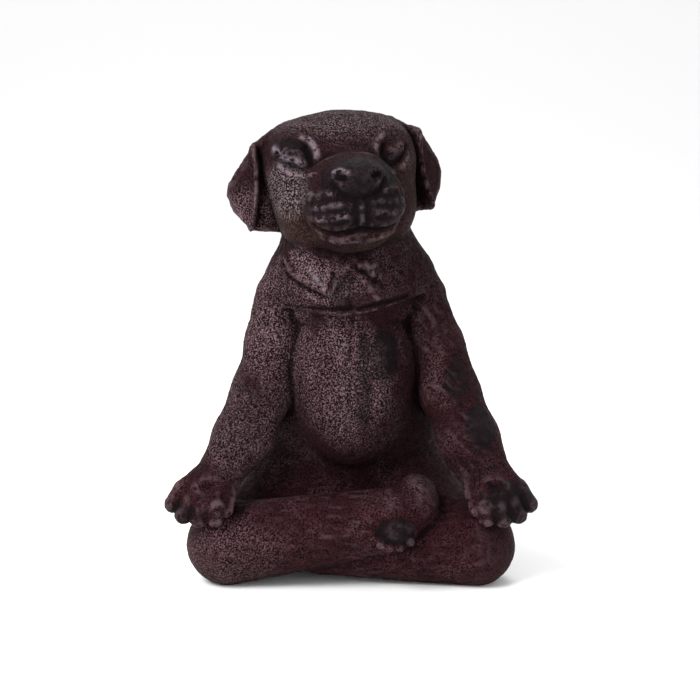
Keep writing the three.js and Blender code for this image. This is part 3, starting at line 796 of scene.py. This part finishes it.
# %% Painted highlights and the hem's painted shade
# painted highlights on the face, stronger on the side towards the light
PAINTED_HIGHLIGHT_LINES = (  # width, strength and points
    (0.4, 0.9, ((-4.9, 3.5), (-3.7, 4), (-2.3, 3.4))),  # nostril
    (0.55, 0.9, ((-14, 8.6), (-13.2, 7), (-12.2, 6.4), (-10.6, 5.9), (-9.4, 5.4))),  # eyelid
    (0.45, 0.5, ((-13.6, 5), (-11.8, 3.4), (-9.8, 2.8))),
    (0.5, 0.7, ((-8.6, 10.6), (-7.2, 9.8), (-6.4, 8), (-6.3, 6.4))),  # inner brow
    (0.5, 0.25, ((8.4, 9.6), (7, 8.7), (6.2, 7.2))),
    (0.5, 0.65, ((-9.6, -0.6), (-5.4, -0.7))),  # whisker roots
    (0.45, 0.45, ((-9, -3.1), (-4.4, -2.8))),
    (0.5, 0.6, ((-8.6, -5.4), (-3.6, -5.1))),
    (0.45, 0.2, ((5.4, -0.7), (8.6, -0.9))),
    (0.45, 0.2, ((3.8, -5.1), (7.6, -5.4))),
    (0.45, 0.3, ((-5.4, -10.6), (-1, -11), (4, -10.8))),  # lower lip
    (0.35, 0.2, ((0, -3), (0.1, -6.6))),
)
# painted highlights on the tufts
PAINTED_TUFT_HIGHLIGHTS = (
    (0.45, 0.8, ((3.2, 68.4), (4.6, 66.2))),
    (0.5, 0.7, ((-8.8, 67.2), (-6.2, 64), (-5.2, 62.6))),
    (0.4, 0.5, ((-13.2, 66.4), (-10.3, 64.9), (-7.7, 63.8))),
)
# painted shade along the hem's groove
HEM_SHADE = (0.6, 0.55, ((-13.4, 59), (-5, 59), (0, 59), (6, 59.9), (12, 61.1)))

masks["painted_highlights"] = np.zeros(len(skin_places))
for width, strength, drawn in PAINTED_HIGHLIGHT_LINES:
    press(masks["painted_highlights"], in_face, on_front(face, drawn), width, strength)
for width, strength, drawn in PAINTED_TUFT_HIGHLIGHTS:
    press(masks["painted_highlights"], skin_places, on_front(torso, drawn), width, strength)
# the hem's groove gets painted shade through the hollow mask
press(masks["hollow"], skin_places, on_front(torso, HEM_SHADE[2]), *HEM_SHADE[:2])
print("masks:", {name: round(float(mask.mean()), 3) for name, mask in masks.items()})

# %% [markdown]
# ## The casting
# The vertices become one mesh in metres, with its place in the mesh and its object at the origin. Each
# mask goes along as an attribute of the mesh, where a material can read it by name.

# %% Make the casting
places = (skin_places - np.array([0, MIDDLE, 0])) * PERCENT
places[:, 2] = np.clip(places[:, 2], 0, HEIGHT)
mesh = bpy.data.meshes.new("dog_casting")
mesh.from_pydata(places.tolist(), [], skin_faces.tolist())
for name, mask in masks.items():
    mesh.attributes.new(name, "FLOAT", "POINT").data.foreach_set("value", mask.astype(np.float32))
mesh.shade_smooth()
casting = bpy.data.objects.new("dog_casting", mesh)
bpy.context.scene.collection.objects.link(casting)
print("casting:", len(mesh.vertices), "vertices,", len(mesh.polygons), "faces")

# %% [markdown]
# ## A helper for nodes
# A material and a Geometry Nodes tree are both node trees. This small class adds a node with its inputs
# in one call, so that each layer of paint below is one line.

# %% Node helper
class Nodes:
    """Builds a node tree by name."""

    def __init__(self, tree):
        self.tree = tree
        tree.nodes.clear()

    def add(self, kind, inputs=(), **settings):
        node = self.tree.nodes.new(kind)
        for key, value in settings.items():
            setattr(node, key, value)
        for key, value in dict(inputs).items():
            self.put(node.inputs[key], value)
        return node

    def put(self, socket, value):
        if isinstance(value, bpy.types.NodeSocket):
            self.tree.links.new(value, socket)
        else:
            socket.default_value = value

    def math(self, operation, a, b=0.0, c=0.0, clamp=False):
        node = self.add("ShaderNodeMath", {0: a, 1: b, 2: c}, operation=operation, use_clamp=clamp)
        return node.outputs[0]

    def times(self, a, b):
        return self.math("MULTIPLY", a, b, clamp=True)

    def between(self, value, low, high):
        """0 at low and 1 at high, or the other way round where low is the larger."""
        inputs = {"Value": value, "From Min": low, "From Max": high}
        return self.add("ShaderNodeMapRange", inputs, clamp=True).outputs[0]

    def noise(self, where, size, detail, roughness):
        """Noise whose blotches are about size metres across."""
        inputs = {"Vector": where, "Scale": 1 / size, "Detail": detail, "Roughness": roughness}
        return self.add("ShaderNodeTexNoise", inputs).outputs["Fac"]

    def coat(self, under, over, share):
        """One coat of paint over what is there."""
        node = self.add("ShaderNodeMix", data_type="RGBA", clamp_factor=True)
        self.put(node.inputs[0], share)
        self.put(node.inputs[6], under)
        self.put(node.inputs[7], over)
        return node.outputs[2]


print("node helper ready")

# %% [markdown]
# ## The paints
# The resin is dark maroon brown and matt. Over it lie dry-brushed coats: near-black in patches,
# purple-grey on what stands proud, rust on the legs. Part of this is painted light and shade: some
# near-black patches and the deepest colour are painted shade, the purple-grey is partly painted light, and
# a pale pink-grey is painted highlight. Three noises break all of them up, because a dry brush only
# reaches the tops of the grains: fine grain, specks of a few millimetres and wide clouds.

# %% Paints and noises
BASE = (0.021, 0.0076, 0.0092, 1)
# the deepest colour: pits in the grain, and painted shade in the hollows
DEEP = (0.0025, 0.001, 0.0013, 1)
# purple-grey: worn paint, and painted light where it is stronger towards the light and on what stands proud
WORN_AND_LIT = (0.232, 0.150, 0.166, 1)
RUST = (0.036, 0.0088, 0.0115, 1)
# near-black paint and stains, and painted shade where the black patches stand for shade
BLACK_AND_SHADE = (0.0036, 0.0018, 0.0028, 1)
# a pale pink-grey for the paler patches on the crown and cheek
PALE_TINT = (0.190, 0.152, 0.160, 1)
# a painted highlight
PAINTED_HIGHLIGHT = (0.250, 0.195, 0.232, 1)
OCHRE = (0.042, 0.026, 0.0125, 1)
NOISES = {  # blotch size in metres, detail and roughness
    "grain": (0.00052, 2.0, 0.7),
    "speck": (0.0022, 3.0, 0.65),
    "cloud": (0.014, 4.0, 0.6),
}
# Where a noise or a mask starts to let a coat through, and where it lets all of it through
RUST_CLOUDS = (0.3, 0.6)
OCHRE_SPECKS = (0.42, 0.6)
BLACK_AND_SHADE_EDGE = (0.25, 0.6)
DARK_SPECKS, DARK_CLOUDS = (0.5, 0.62), (0.42, 0.6)
PIT_GRAINS = (0.495, 0.42)
WEAR_AND_LIGHT_GRAINS, WEAR_AND_LIGHT_REACH = (0.49, 0.63), (0.52, 1.3)
PALE_TINT_GRAINS = (0.5, 0.64)
SHADED_HOLLOWS = (0.6, 0.95)
PROUD, PROUD_SPECKS = (0.4, 0.1), (0.42, 0.6)
PAINTED_HIGHLIGHT_SPECKS = (0.42, 0.54)
STRENGTH = {  # how strong each coat is at most
    "black_and_shade": 0.9,
    "stains": 0.7,
    "pits": 0.95,
    "wear_and_light": 0.9,
    "hollow": 0.8,
    "proud": 0.32,
    "painted_highlights": 0.8,
}
# the black patches, painted shade among them, fray in the same way
FRAY, FRAY_MIDDLE = 1.4, -0.75  # how far specks eat into a black patch
CLOUD_WEAR = 1.1  # how much clouds add to the wear
# black paint and painted shade alike wear less and cover what stands proud
BLACK_AND_SHADE_HOLDS, BLACK_AND_SHADE_COVERS = 0.5, -0.6  # black paint wears less, and covers what stands proud
print("noises:", ", ".join(NOISES))

# %% [markdown]
# ## Coat over coat
# Each coat mixes the colour so far with its own paint, by a mask that noise has bitten into. The dark
# coats come first, painted shade among them, and the worn ones and the painted highlights last, as a
# painter would lay them.

# %% The coats
def bitten_black_and_shade(n, mask, noise):
    """The black patches, painted shade among them, frayed by specks."""
    return n.math("ADD", mask["black_and_shade"], n.math("MULTIPLY_ADD", noise["speck"], FRAY, FRAY_MIDDLE))


def dark_coats(n, mask, noise):
    grain, speck, cloud = noise.values()
    colour = n.coat(BASE, RUST, n.times(mask["rust"], n.between(cloud, *RUST_CLOUDS)))
    colour = n.coat(colour, OCHRE, n.times(mask["ochre"], n.between(speck, *OCHRE_SPECKS)))
    # black paint, and painted shade where the patches stand for shade
    patch = n.between(bitten_black_and_shade(n, mask, noise), *BLACK_AND_SHADE_EDGE)
    colour = n.coat(colour, BLACK_AND_SHADE, n.times(patch, STRENGTH["black_and_shade"]))
    stains = n.times(n.between(speck, *DARK_SPECKS), n.between(cloud, *DARK_CLOUDS))
    colour = n.coat(colour, BLACK_AND_SHADE, n.times(stains, STRENGTH["stains"]))
    return n.coat(colour, DEEP, n.times(n.between(grain, *PIT_GRAINS), STRENGTH["pits"]))


def wear_light_and_shade_coats(n, mask, noise, colour):
    grain, speck, cloud = noise.values()
    # wear, and painted light where the patches favour the side towards the light
    dry_and_lit = n.math("MULTIPLY_ADD", cloud, CLOUD_WEAR, mask["wear_and_light"])
    dry_and_lit = n.math("SUBTRACT", dry_and_lit, n.math("MULTIPLY", mask["black_and_shade"], BLACK_AND_SHADE_HOLDS))
    wear_and_light = n.times(n.between(grain, *WEAR_AND_LIGHT_GRAINS), n.between(dry_and_lit, *WEAR_AND_LIGHT_REACH))
    colour = n.coat(colour, WORN_AND_LIT, n.times(wear_and_light, STRENGTH["wear_and_light"]))
    colour = n.coat(colour, PALE_TINT, n.times(mask["pale_tint"], n.between(grain, *PALE_TINT_GRAINS)))
    # painted shade in the hollows and in the hem's groove
    hollow_shade = n.between(mask["hollow"], *SHADED_HOLLOWS)
    colour = n.coat(colour, DEEP, n.times(hollow_shade, STRENGTH["hollow"]))
    # what stands proud is lighter: worn paint, and a painted highlight
    proud = n.times(n.between(mask["hollow"], *PROUD), n.between(speck, *PROUD_SPECKS))
    bare = n.math("MULTIPLY_ADD", mask["black_and_shade"], BLACK_AND_SHADE_COVERS, 1.0)
    colour = n.coat(colour, WORN_AND_LIT, n.times(n.times(proud, bare), STRENGTH["proud"]))
    # painted highlights along the lines drawn for them
    highlight_share = n.times(mask["painted_highlights"], n.between(speck, *PAINTED_HIGHLIGHT_SPECKS))
    return n.coat(colour, PAINTED_HIGHLIGHT, n.times(highlight_share, STRENGTH["painted_highlights"]))


print("coats: dark ones first, then worn ones")

# %% [markdown]
# ## The finished patina
# The black patches, painted shade among them, are a little glossier than the resin. The grain is too fine
# for vertices, so the same noise that colours it also dents the light with a Bump node.

# %% The patina's material
ROUGH_LEAST, ROUGH_SPREAD, ROUGH_SPECKS = 0.45, 0.3, (0.35, 0.65)
GLOSS_EDGE, GLOSS_SMOOTHING = (0.3, 0.7), 0.15
SHINE_LEAST, SHINE_SPREAD = 0.03, 0.03
SPECK_DENT = 0.8  # how deep specks dent, beside the grain
BUMP = {"Strength": 0.9, "Distance": 0.0008}


def patina():
    material = bpy.data.materials.new("patinated_resin")
    material.use_nodes = True
    n = Nodes(material.node_tree)
    where = n.add("ShaderNodeTexCoord").outputs["Object"]
    mask = {name: n.add("ShaderNodeAttribute", attribute_name=name).outputs["Fac"] for name in masks}
    noise = {name: n.noise(where, *settings) for name, settings in NOISES.items()}
    colour = wear_light_and_shade_coats(n, mask, noise, dark_coats(n, mask, noise))
    gloss = n.between(bitten_black_and_shade(n, mask, noise), *GLOSS_EDGE)
    rough = n.math("MULTIPLY_ADD", n.between(noise["speck"], *ROUGH_SPECKS), ROUGH_SPREAD, ROUGH_LEAST)
    rough = n.math("SUBTRACT", rough, n.math("MULTIPLY", gloss, GLOSS_SMOOTHING))
    shine = n.math("MULTIPLY_ADD", gloss, SHINE_SPREAD, SHINE_LEAST)
    dents = n.math("ADD", noise["grain"], n.math("MULTIPLY", noise["speck"], SPECK_DENT))
    bump = n.add("ShaderNodeBump", {"Height": dents, **BUMP}).outputs["Normal"]
    surface = {"Base Color": colour, "Roughness": rough, "Normal": bump, "Specular IOR Level": shine}
    shader = n.add("ShaderNodeBsdfPrincipled", surface)
    n.add("ShaderNodeOutputMaterial", {"Surface": shader.outputs[0]})
    return material


resin = patina()
print("material:", resin.name, "with", len(resin.node_tree.nodes), "nodes")

# %% [markdown]
# ## Grain of the cast
# The mould gave the skin a fine hammered unevenness everywhere. That follows a surface, so Geometry Nodes
# make it: noise pushes every vertex along its normal by a fraction of a millimetre, with the size, depths
# and seed as named inputs. The tree ends in Realize Instances and Set Material.

# %% The grain's tree
FINE_SHARE = 0.35  # size of the fine noise, as a share of the coarse one's
FOOTING = 0.002  # the grain fades out this far above the ground, so that the figure stands flat


def grain_tree():
    tree = bpy.data.node_groups.new("cast_grain", "GeometryNodeTree")
    socket = tree.interface.new_socket
    socket("Geometry", in_out="INPUT", socket_type="NodeSocketGeometry")
    for name in ("Size", "Depth", "Fine Depth", "Seed"):
        socket(name, in_out="INPUT", socket_type="NodeSocketFloat")
    socket("Finish", in_out="INPUT", socket_type="NodeSocketMaterial")
    socket("Geometry", in_out="OUTPUT", socket_type="NodeSocketGeometry")
    n = Nodes(tree)
    given = n.add("NodeGroupInput").outputs
    place = n.add("GeometryNodeInputPosition").outputs[0]
    normal = n.add("GeometryNodeInputNormal").outputs[0]

    def push(size, depth):
        inputs = {"Vector": place, "W": given["Seed"], "Scale": n.math("DIVIDE", 1.0, size), "Detail": 2.0}
        noise = n.add("ShaderNodeTexNoise", inputs, noise_dimensions="4D").outputs["Fac"]
        return n.math("MULTIPLY", n.math("SUBTRACT", noise, 0.5), depth)

    coarse = push(given["Size"], given["Depth"])
    fine = push(n.math("MULTIPLY", given["Size"], FINE_SHARE), given["Fine Depth"])
    height = n.add("ShaderNodeSeparateXYZ", {0: place}).outputs["Z"]
    footing = n.math("DIVIDE", height, FOOTING, clamp=True)
    offset = n.add("ShaderNodeVectorMath", {0: normal}, operation="SCALE")
    n.put(offset.inputs["Scale"], n.math("MULTIPLY", n.math("ADD", coarse, fine), footing))
    moved = n.add("GeometryNodeSetPosition", {"Geometry": given["Geometry"], "Offset": offset.outputs[0]})
    real = n.add("GeometryNodeRealizeInstances", {"Geometry": moved.outputs[0]})
    dressed = n.add("GeometryNodeSetMaterial", {"Geometry": real.outputs[0], "Material": given["Finish"]})
    n.add("NodeGroupOutput", {"Geometry": dressed.outputs[0]})
    return tree


tree = grain_tree()
print("grain tree:", len(tree.nodes), "nodes")

# %% [markdown]
# ## The grain on the casting
# A modifier runs the tree on the casting. Its inputs are set by their sockets' identifiers, its result is
# kept as a plain mesh, and the modifier goes.

# %% Grain by Geometry Nodes
GRAIN = {"Size": 0.0035, "Depth": 0.0006, "Fine Depth": 0.0004, "Seed": 3.0, "Finish": resin}

modifier = casting.modifiers.new("grain", "NODES")
modifier.node_group = tree
for item in tree.interface.items_tree:
    if item.in_out == "INPUT" and item.name in GRAIN:
        modifier[item.identifier] = GRAIN[item.name]
evaluated = casting.evaluated_get(bpy.context.evaluated_depsgraph_get())
finished = bpy.data.meshes.new_from_object(evaluated)
casting.modifiers.remove(modifier)
casting.data = finished
casting.data.name = "dog_casting"
print("grain done:", len(finished.vertices), "vertices, finish", [m.name for m in finished.materials])

# %% [markdown]
# ## Keep inside the solid model's box
# The solid model sets the size, so the few vertices that grain or fur push past its box are drawn back.

# %% Fit the box
low, high = (np.array(corner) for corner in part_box("dog"))
coordinates = np.empty(len(finished.vertices) * 3)
finished.vertices.foreach_get("co", coordinates)
coordinates = coordinates.reshape(-1, 3)
outside = int(((coordinates < low) | (coordinates > high)).any(1).sum())
finished.vertices.foreach_set("co", np.clip(coordinates, low, high).ravel())
finished.update()
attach(casting, "root")
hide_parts("dog")
print("vertices drawn back:", outside)

# %% [markdown]
# ## Camera
# The photograph looks slightly down at the dog's front, from about three heights away, through a lens
# that is long for its frame. The lens is worked out for a square frame.

# %% The camera
FRAME_PIXELS = 700
FOCAL_PIXELS = 1532
SENSOR = 36
EYE_HEIGHT = math.radians(10)
DISTANCE = 333 * PERCENT
LOOK_AT = Vector((-0.2, -2 - MIDDLE, 48.4)) * PERCENT

lens = bpy.data.cameras.new("camera")
lens.sensor_width = SENSOR
lens.lens = SENSOR * FOCAL_PIXELS / FRAME_PIXELS
camera = bpy.data.objects.new("camera", lens)
bpy.context.scene.collection.objects.link(camera)
back = Vector((0, -math.cos(EYE_HEIGHT), math.sin(EYE_HEIGHT)))
camera.location = LOOK_AT + back * DISTANCE
camera.rotation_euler = back.to_track_quat("Z", "Y").to_euler()
bpy.context.scene.camera = camera
print("camera", round(DISTANCE, 3), "m away, lens", round(lens.lens, 1), "mm")

# %% [markdown]
# ## Floor
# The floor is a sheet of pale paper that sweeps up behind the dog, so that no horizon shows. Its profile
# is a line, a quarter turn and another line, drawn out sideways.

# %% The paper sweep
SWEEP_HALF_WIDTH = 3.0
SWEEP_FRONT = -2.5
SWEEP_BACK = 0.8
SWEEP_RADIUS = 0.8
SWEEP_TOP = 2.5
TURNS = 16

profile = [(SWEEP_FRONT, 0.0), (SWEEP_BACK, 0.0)]
for turn in range(1, TURNS + 1):
    angle = math.pi / 2 * turn / TURNS
    profile.append((SWEEP_BACK + SWEEP_RADIUS * math.sin(angle), SWEEP_RADIUS * (1 - math.cos(angle))))
profile.append((SWEEP_BACK + SWEEP_RADIUS, SWEEP_TOP))
sweep = bpy.data.meshes.new("floor")
sweep_points = [(side * SWEEP_HALF_WIDTH, y, z) for y, z in profile for side in (-1, 1)]
sweep_faces = [(2 * i, 2 * i + 1, 2 * i + 3, 2 * i + 2) for i in range(len(profile) - 1)]
sweep.from_pydata(sweep_points, [], sweep_faces)
sweep.shade_smooth()
floor = bpy.data.objects.new("floor", sweep)
bpy.context.scene.collection.objects.link(floor)
paper = bpy.data.materials.new("paper")
paper.use_nodes = True
paper_shader = paper.node_tree.nodes["Principled BSDF"]
paper_shader.inputs["Base Color"].default_value = (0.9, 0.9, 0.9, 1)
paper_shader.inputs["Roughness"].default_value = 0.95
sweep.materials.append(paper)
print("floor:", len(sweep.polygons), "strips of paper")

# %% [markdown]
# ## Light
# The light is a soft studio: one broad light above and to the left of the camera, a weak one on the
# right, one over the crown from behind, and an even pale sky, so that the dark resin keeps detail in its
# hollows. The camera doesn't see the lamps themselves.

# %% Lights and sky
LIGHTS = {  # place, size and power
    "key": ((-0.5, -0.5, 0.7), 0.4, 10.0),
    "fill": ((0.6, -0.5, 0.3), 0.6, 0.8),
    "crown": ((0.1, 0.35, 0.8), 0.4, 3.0),
}
SKY_STRENGTH = 0.86

for name, (place, size, power) in LIGHTS.items():
    light = bpy.data.lights.new(name, "AREA")
    light.size = size
    light.energy = power
    lamp = bpy.data.objects.new(name, light)
    bpy.context.scene.collection.objects.link(lamp)
    lamp.visible_camera = False
    lamp.location = place
    lamp.rotation_euler = (Vector(place) - LOOK_AT).to_track_quat("Z", "Y").to_euler()
sky = bpy.data.worlds.new("sky")
sky.use_nodes = True
sky.node_tree.nodes["Background"].inputs["Color"].default_value = (1, 1, 1, 1)
sky.node_tree.nodes["Background"].inputs["Strength"].default_value = SKY_STRENGTH
bpy.context.scene.world = sky
bpy.context.scene.view_settings.view_transform = "Standard"
print("lights:", ", ".join(LIGHTS))
